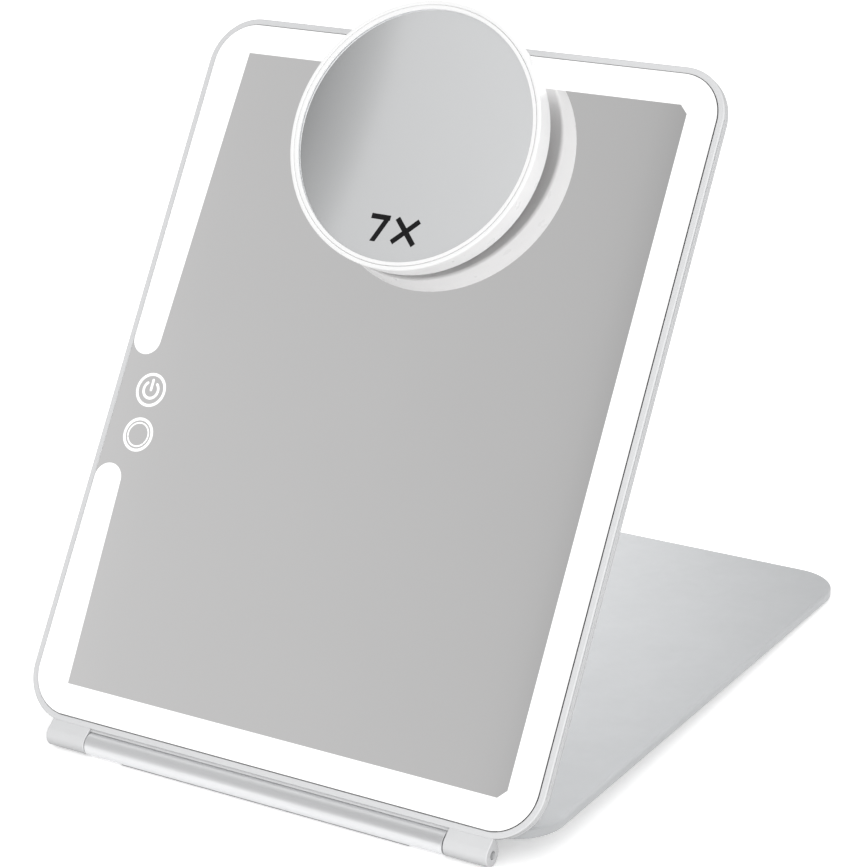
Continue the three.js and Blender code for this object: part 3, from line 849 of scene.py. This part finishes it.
def make_marks(material):
    """Two rings: one round an open arc and a bar, for power, and one round three arcs."""
    x = -glass_half + MARK_INSET
    full = 2 * math.pi
    power = (x, glass_low.y + POWER_UP)
    mode = (x, glass_low.y + MODE_UP)
    gap = POWER_OPENING / 2
    pieces = [
        print_ring("power_ring", power, MARK_RADIUS, MARK_STROKE),
        print_arc("power_arc", power, POWER_RADIUS, POWER_STROKE,
                  math.pi / 2 + gap, math.pi / 2 + full - gap),
        print_ring("mode_ring", mode, MARK_RADIUS, MARK_STROKE),
    ]
    half = POWER_STROKE / 2
    bar_top = (x, power[1] + POWER_RADIUS + POWER_BAR_ABOVE - half)
    bar_outline = arc(bar_top, half, 0, math.pi, PRINT_END_STEPS)
    bar_outline += arc(power, half, math.pi, full, PRINT_END_STEPS)
    pieces.append(on_glass("power_bar", bar_outline))
    for i in range(MODE_ARCS):
        start = MODE_FIRST_GAP + i * full / MODE_ARCS + MODE_GAP / 2
        end = start + full / MODE_ARCS - MODE_GAP
        pieces.append(print_arc(f"mode_arc_{i}", mode, MODE_RADIUS, MODE_STROKE, start, end))
    for piece in pieces:
        put(piece, PANEL, "panel", material)


# Cover pieces

def stop_wedge():
    """The room that the panel's bottom edge needs at its back stop, as a (y, z) section."""
    opening = PANEL.to_3x3().col[1].angle(COVER.to_3x3().col[1]) - BACK_STOP
    turn = Matrix.Rotation(opening, 2)
    start = turn @ relief_start
    end = turn @ relief_end
    up_the_back = turn @ Vector((1, 0))
    along = (end - start).normalized()
    under = Vector((along.y, -along.x))
    behind = Vector((up_the_back.y, -up_the_back.x))
    corner = end + (under + behind) * CLEARANCE / (1 + under.dot(behind))
    down = corner - along * FAR
    up = corner + up_the_back * FAR
    return [down, corner, up, up - along * FAR]


def make_cover(material):
    """A flat shell with a neck, which stays just inside its faces where the two join."""
    rounding = COVER_ROUNDING
    low, high = cover_under, cover_high.z
    profile = arc((rounding, low + rounding), rounding, 1.5 * math.pi, math.pi, ROUNDING_STEPS)
    profile += arc((rounding, high - rounding), rounding, math.pi, math.pi / 2, ROUNDING_STEPS)
    piece = skin("cover", [
        at_height(cover_outline(inset, COVER_FRONT + inset), height) for inset, height in profile
    ])
    neck_back = COVER_FRONT + NECK_OVERLAP
    neck_low, neck_high = low + NECK_INSET, high - NECK_INSET
    neck = [
        (0, NECK_FOOT), (COVER_FRONT, NECK_FOOT), (COVER_FRONT, neck_low),
        (neck_back, neck_low), (neck_back, neck_high), (0, neck_high),
    ]
    combine(piece, bar("neck", neck, -barrel_half, barrel_half), "UNION")
    combine(piece, hinge_rod("seat", BARREL_RADIUS + CLEARANCE, -FAR, FAR), "DIFFERENCE")
    combine(piece, bar("wedge", stop_wedge(), -FAR, FAR), "DIFFERENCE")
    hollow_top = stiffener_top + CLEARANCE
    hollow = slab("hollow", cover_outline(COVER_WALL, HOLLOW_FRONT), -FAR, hollow_top)
    combine(piece, hollow, "DIFFERENCE")
    return put(piece, COVER, "cover", material, ["cover_shell"])


def bumper_center(side):
    low, high = extent(f"cover_bumper_{side}", COVER)
    return (low.x + high.x) / 2, (low.y + high.y) / 2


def make_liner(material):
    inset = COVER_WALL + CLEARANCE
    outline = cover_outline(inset, HOLLOW_FRONT + CLEARANCE)
    piece = slab("liner", outline, cover_under, cover_under + LINER_THICKNESS)
    for side in ("left", "right"):
        hole = disc("hole", bumper_center(side), BUMPER_RADIUS + CLEARANCE, -FAR, FAR)
        combine(piece, hole, "DIFFERENCE")
    return put(piece, COVER, "cover", material, ["cover_liner"])


def make_barrel(material):
    """A tube, with a level groove in its underside for the strip."""
    piece = rounded_bar("barrel", circle(BARREL_RADIUS, BARREL_STEPS),
                        -barrel_half, barrel_half, BARREL_CHAMFER)
    bore = hinge_rod("bore", BARREL_RADIUS - BARREL_WALL, -FAR, FAR)
    combine(piece, bore, "DIFFERENCE")
    groove_top = strip_high.z + CLEARANCE - hinge.z / MM
    section = [
        (strip_low.y - CLEARANCE, -FAR), (strip_high.y + CLEARANCE, -FAR),
        (strip_high.y + CLEARANCE, groove_top), (strip_low.y - CLEARANCE, groove_top),
    ]
    groove = bar("groove", section, strip_low.x - CLEARANCE, strip_high.x + CLEARANCE)
    groove.data.transform(COVER.to_3x3().inverted().to_4x4())
    combine(piece, groove, "DIFFERENCE")
    return put(piece, COVER, "cover", material, ["hinge_barrel"])


# Magnifier pieces

def lens_rise(radius):
    return LENS_CURVE_RADIUS - math.sqrt(LENS_CURVE_RADIUS ** 2 - radius ** 2)


lens_outer = MAGNIFIER_RADIUS - MAGNIFIER_WALL - CLEARANCE
lens_back = MAGNIFIER_FLOOR + CLEARANCE
ring_back = lens_back + lens_rise(lens_outer) + LENS_THICKNESS + CLEARANCE
ring_front = ring_back + RING_THICKNESS
magnifier_depth = ring_front + RING_SETBACK
cup_top = CUP_HOLLOW + CUP_WALL + STUD_LENGTH - CLEARANCE
standoff = CUP_HOLLOW + CUP_WALL + CUP_PLAY + STUD_LENGTH + BOSS_HEIGHT

CUP = PANEL @ Matrix.Translation(
    Vector((MAGNIFIER_ACROSS, glass_high.y - MAGNIFIER_DOWN, glass_high.z)) * MM)
DISC = CUP @ Matrix.Translation((0, 0, standoff * MM)) @ (
    Matrix.Rotation(MAGNIFIER_TILT_DOWN, 4, "X") @ Matrix.Rotation(MAGNIFIER_TILT_ASIDE, 4, "Y")
    @ Matrix.Rotation(MAGNIFIER_TURN, 4, "Z"))


def make_magnifier_housing(material):
    inner = MAGNIFIER_RADIUS - MAGNIFIER_WALL
    seat_inner = inner - LENS_SEAT
    seat_top = lens_back + lens_rise(seat_inner) - CLEARANCE
    front_round = MAGNIFIER_WALL / 2
    back_round = MAGNIFIER_BACK_ROUNDING
    back_radius = MAGNIFIER_RADIUS - MAGNIFIER_DRAFT
    profile = [
        (0, -BOSS_HEIGHT - STUD_LENGTH), (STUD_RADIUS, -BOSS_HEIGHT - STUD_LENGTH),
        (STUD_RADIUS, -BOSS_HEIGHT), (BOSS_RADIUS, -BOSS_HEIGHT), (BOSS_RADIUS, 0),
    ]
    profile += arc((back_radius - back_round, back_round), back_round,
                   1.5 * math.pi, 2 * math.pi, ROUNDING_STEPS)
    profile += arc((MAGNIFIER_RADIUS - front_round, magnifier_depth - front_round), front_round,
                   0, math.pi, 2 * ROUNDING_STEPS)
    profile += [(inner, seat_top), (seat_inner, seat_top)]
    profile += [(seat_inner, MAGNIFIER_FLOOR), (0, MAGNIFIER_FLOOR)]
    piece = turned("magnifier_body", profile)
    return put(piece, DISC, "magnifier", material, ["magnifier_housing"])


def make_magnifier_ring(material):
    inner = lens_outer - RING_WIDTH
    outer = lens_outer + CLEARANCE - RING_PLAY
    rounding = RING_ROUNDING
    profile = [(inner, ring_back), (outer, ring_back)]
    profile += arc((outer - rounding, ring_front - rounding), rounding,
                   0, math.pi / 2, ROUNDING_STEPS)
    profile += arc((inner + rounding, ring_front - rounding), rounding,
                   math.pi / 2, math.pi, ROUNDING_STEPS)
    piece = turned("magnifier_inner_ring", profile, closed=True)
    return put(piece, DISC, "magnifier", material, ["magnifier_ring"])


def make_lens(material):
    radii = [lens_outer * i / LENS_RINGS for i in range(LENS_RINGS + 1)]
    back = [(radius, lens_back + lens_rise(radius)) for radius in radii]
    front = [(radius, height + LENS_THICKNESS) for radius, height in reversed(back)]
    piece = turned("lens", back + front)
    return put(piece, DISC, "magnifier", material, ["magnifier_lens"])


def make_cup(material):
    bell = CUP_TOP_RADIUS
    hole = STUD_RADIUS + CUP_PLAY
    hole_bottom = CUP_HOLLOW + CUP_WALL
    profile = [
        (0, CUP_HOLLOW), (CUP_RADIUS - CUP_WALL, CLEARANCE),
        (CUP_RADIUS, CLEARANCE), (CUP_RADIUS, CLEARANCE + CUP_LIP),
        ((CUP_RADIUS + bell) / 2, cup_top / 2), (bell, cup_top - CUP_LIP), (bell, cup_top),
        (hole, cup_top), (hole, hole_bottom), (0, hole_bottom),
    ]
    piece = turned("cup", profile, CUP_STEPS)
    return put(piece, CUP, "magnifier", material, ["suction_cup"])


def lens_stroke(name, start, end, width, start_cut=None, end_cut=None):
    """A straight printed stroke that follows the hollow of the lens."""
    start, end = Vector(start), Vector(end)
    along = (end - start).normalized()
    across = Vector((-along.y, along.x))
    start_cut = start_cut or across
    end_cut = end_cut or across
    rings = []
    for i in range(STROKE_STEPS + 1):
        share = i / STROKE_STEPS
        middle = start.lerp(end, share)
        cut = start_cut.lerp(end_cut, share)
        reach = cut * (width / 2 / cut.dot(across))
        ring = []
        for side, lift in ((-1, 0), (1, 0), (1, FIGURE_PROUD), (-1, FIGURE_PROUD)):
            point = middle + reach * side
            height = lens_back + LENS_THICKNESS + lens_rise(point.length) + lift
            ring.append((point.x, point.y, height))
        rings.append(ring)
    return skin(name, rings)


def make_figure(material):
    """A plain seven and a multiplication sign."""
    top = FIGURE_TOP
    bottom = FIGURE_TOP - FIGURE_HEIGHT
    left = FIGURE_LEFT
    right = left + SEVEN_WIDTH
    half = FIGURE_STROKE / 2
    level = Vector((1, 0))
    foot = left + SEVEN_FOOT
    low = bottom + TIMES_UP
    high = low + TIMES_SIZE
    times_right = TIMES_LEFT + TIMES_SIZE
    strokes = [
        lens_stroke("seven_bar", (left, top - half), (right, top - half), FIGURE_STROKE),
        lens_stroke("seven_leg", (right - half, top - half), (foot, bottom), FIGURE_STROKE,
                    None, level),
        lens_stroke("times_rise", (TIMES_LEFT, low), (times_right, high), FIGURE_STROKE),
        lens_stroke("times_fall", (TIMES_LEFT, high), (times_right, low), FIGURE_STROKE),
    ]
    for stroke in strokes:
        stroke.data.transform(Matrix.Rotation(-MAGNIFIER_TURN, 4, "Z"))
        put(stroke, DISC, "magnifier", material)


# Stage

def seen_or_mirrored(nodes, links):
    """1 for camera, glossy and transmission rays, and 0 for the rest."""
    path = nodes.new("ShaderNodeLightPath")
    total = path.outputs["Is Camera Ray"]
    for ray in ("Is Glossy Ray", "Is Transmission Ray"):
        either = nodes.new("ShaderNodeMath")
        either.operation = "MAXIMUM"
        links.new(total, either.inputs[0])
        links.new(path.outputs[ray], either.inputs[1])
        total = either.outputs["Value"]
    return total


def make_plane(name, half_width, half_height, material):
    mesh = bpy.data.meshes.new(name)
    corners = [
        (-half_width, -half_height, 0), (half_width, -half_height, 0),
        (half_width, half_height, 0), (-half_width, half_height, 0),
    ]
    mesh.from_pydata(corners, [], [(0, 1, 2, 3)])
    mesh.materials.append(material)
    plane = bpy.data.objects.new(name, mesh)
    bpy.context.collection.objects.link(plane)
    return plane


def facing(place, aim, axis):
    """The turn that points an axis from a place at what it aims at."""
    return (Vector(aim) - Vector(place)).to_track_quat(axis, "Y")


def make_world():
    """An even white studio at the level where a colour renders as it is written."""
    world = bpy.data.worlds.new("studio")
    bpy.context.scene.world = world
    world.use_nodes = True
    background = world.node_tree.nodes["Background"]
    background.inputs["Color"].default_value = (1, 1, 1, 1)
    background.inputs["Strength"].default_value = 1.0


def make_floor():
    material = new_material("floor")
    nodes, links = material.node_tree.nodes, material.node_tree.links
    inputs = nodes["Principled BSDF"].inputs
    inputs["Base Color"].default_value = (FLOOR_SHADE, FLOOR_SHADE, FLOOR_SHADE, 1)
    inputs["Roughness"].default_value = FLOOR_ROUGHNESS
    inputs["Specular IOR Level"].default_value = 0.0
    inputs["Emission Color"].default_value = (1, 1, 1, 1)
    lift = nodes.new("ShaderNodeMath")
    lift.operation = "MULTIPLY"
    lift.inputs[1].default_value = FLOOR_LIFT
    links.new(seen_or_mirrored(nodes, links), lift.inputs[0])
    links.new(lift.outputs["Value"], inputs["Emission Strength"])
    floor = make_plane("floor", FLOOR_HALF, FLOOR_HALF, material)


def glowing_screen(name, half_width, half_height):
    """Glows unevenly along its width, and less and less towards its top.

    A ray that has left a dull surface passes through it.
    """
    material = new_material(name)
    tree = material.node_tree
    nodes, links = tree.nodes, tree.links
    nodes.remove(nodes["Principled BSDF"])
    place = nodes.new("ShaderNodeSeparateXYZ")
    links.new(nodes.new("ShaderNodeTexCoord").outputs["Object"], place.inputs["Vector"])
    across = spread(tree, place.outputs["X"], (-half_width, half_width), (0, 1))
    up = spread(tree, place.outputs["Y"], (0, half_height), (1, 1 - SCREEN_FALL), clamp=False)
    ramp = nodes.new("ShaderNodeValToRGB")
    ramp.color_ramp.interpolation = "B_SPLINE"
    elements = ramp.color_ramp.elements
    for position, level in SCREEN_GLOW[1:-1]:
        elements.new(position)
    for element, (position, level) in zip(elements, SCREEN_GLOW):
        element.position = position
        element.color = (level, level, level, 1)
    emission = nodes.new("ShaderNodeEmission")
    links.new(across, ramp.inputs["Fac"])
    links.new(ramp.outputs["Color"], emission.inputs["Color"])
    links.new(up, emission.inputs["Strength"])
    clear = nodes.new("ShaderNodeBsdfTransparent")
    either = nodes.new("ShaderNodeMixShader")
    links.new(nodes.new("ShaderNodeLightPath").outputs["Diffuse Depth"], either.inputs["Fac"])
    links.new(emission.outputs["Emission"], either.inputs[1])
    links.new(clear.outputs["BSDF"], either.inputs[2])
    links.new(either.outputs["Shader"], nodes["Material Output"].inputs["Surface"])
    return material


def make_screen():
    """A screen in front of the object that shows in its gloss, but not to the camera."""
    name = "front_screen"
    half_width, half_height = SCREEN_WIDTH / 2, SCREEN_HEIGHT / 2
    material = glowing_screen(name, half_width, half_height)
    screen = make_plane(name, half_width, half_height, material)
    screen.location = SCREEN_PLACE
    turn = facing(SCREEN_PLACE, SCREEN_AIM, "Z") @ Quaternion((0, 0, 1), SCREEN_ROLL)
    screen.rotation_euler = turn.to_euler()
    screen.visible_camera = False
    screen.visible_diffuse = False
    screen.visible_shadow = False


def make_lamp(name, kind, place, aim, power):
    """A lamp that lights the object and doesn't show in its mirrors."""
    light = bpy.data.lights.new(name, kind)
    light.energy = power
    lamp = bpy.data.objects.new(name, light)
    bpy.context.collection.objects.link(lamp)
    lamp.location = place
    lamp.rotation_euler = facing(place, aim, "-Z").to_euler()
    lamp.visible_camera = False
    lamp.visible_glossy = False
    return lamp


def light_only(lamp, pieces):
    """Keeps a lamp's light off all but some pieces, as flags do in a studio."""
    reached = bpy.data.collections.new(f"reached_by_{lamp.name}")
    for piece in pieces:
        reached.objects.link(piece)
    lamp.light_linking.receiver_collection = reached


def make_camera():
    data = bpy.data.cameras.new("camera")
    data.lens = CAMERA_LENS
    data.sensor_width = SENSOR_WIDTH
    data.clip_start = CAMERA_NEAREST
    camera = bpy.data.objects.new("camera", data)
    bpy.context.collection.objects.link(camera)
    camera.matrix_world = (
        Matrix.Translation(CAMERA_PLACE)
        @ Matrix.Rotation(CAMERA_HEADING, 4, "Z")
        @ Matrix.Rotation(math.pi / 2 + CAMERA_PITCH, 4, "X")
        @ Matrix.Rotation(CAMERA_ROLL, 4, "Z")
    )
    bpy.context.scene.camera = camera


def dress(node, material):
    """Gives a CAD node that stays its finish."""
    for slot in frame["nodes"][node].material_slots:
        slot.material = material


# Scene

make_camera()
make_world()
make_floor()
make_screen()
right_lamp = make_lamp("right_lamp", "AREA", RIGHT_LAMP_PLACE, RIGHT_LAMP_AIM, RIGHT_LAMP_POWER)
right_lamp.data.size = RIGHT_LAMP_SIZE
cover_lamp = make_lamp("cover_lamp", "SPOT", COVER_LAMP_PLACE, COVER_LAMP_AIM, COVER_LAMP_POWER)
cover_lamp.data.spot_size = COVER_LAMP_SPREAD
cover_lamp.data.spot_blend = COVER_LAMP_BLEND
cover_lamp.data.shadow_soft_size = COVER_LAMP_SOFTNESS

white = gloss_white()
steel = plain_steel()
board = circuit_board()
foil = pouch_foil()
rubber = soft_rubber()
lit = lit_frosting()
opal = opal_plastic()

make_frame(satin_frame())
make_shell(satin_shell())
make_glass(silvered_glass())
put(on_glass("lit_band", band_outline()), PANEL, "panel", lit)
make_marks(lit)
light_only(cover_lamp, [make_cover(satin_cover())])
make_liner(soft_lining())
make_barrel(brushed_barrel())
make_magnifier_housing(white)
make_magnifier_ring(white)
make_lens(silvered_lens())
make_cup(clear_vinyl())
make_figure(black_print())

# CAD nodes that show as they are, by finish
kept = {
    rubber: ["barrel_strip", "cover_bumper_left", "cover_bumper_right"],
    steel: ["hinge_insert_left", "hinge_insert_right", "hinge_pin_left", "hinge_pin_right",
            "charge_socket", "touch_pad_power", "touch_pad_mode", "cover_stiffener"],
    opal: ["diffuser_ring"],
    board: ["control_board", "led_strip_right", "led_strip_left_lower",
            "led_strip_left_upper", "led_strip_bottom", "led_strip_top"],
    foil: ["battery_cell_left", "battery_cell_right"],
}
for material, nodes in kept.items():
    for node in nodes:
        dress(node, material)

bpy.context.scene.view_settings.view_transform = "Standard"
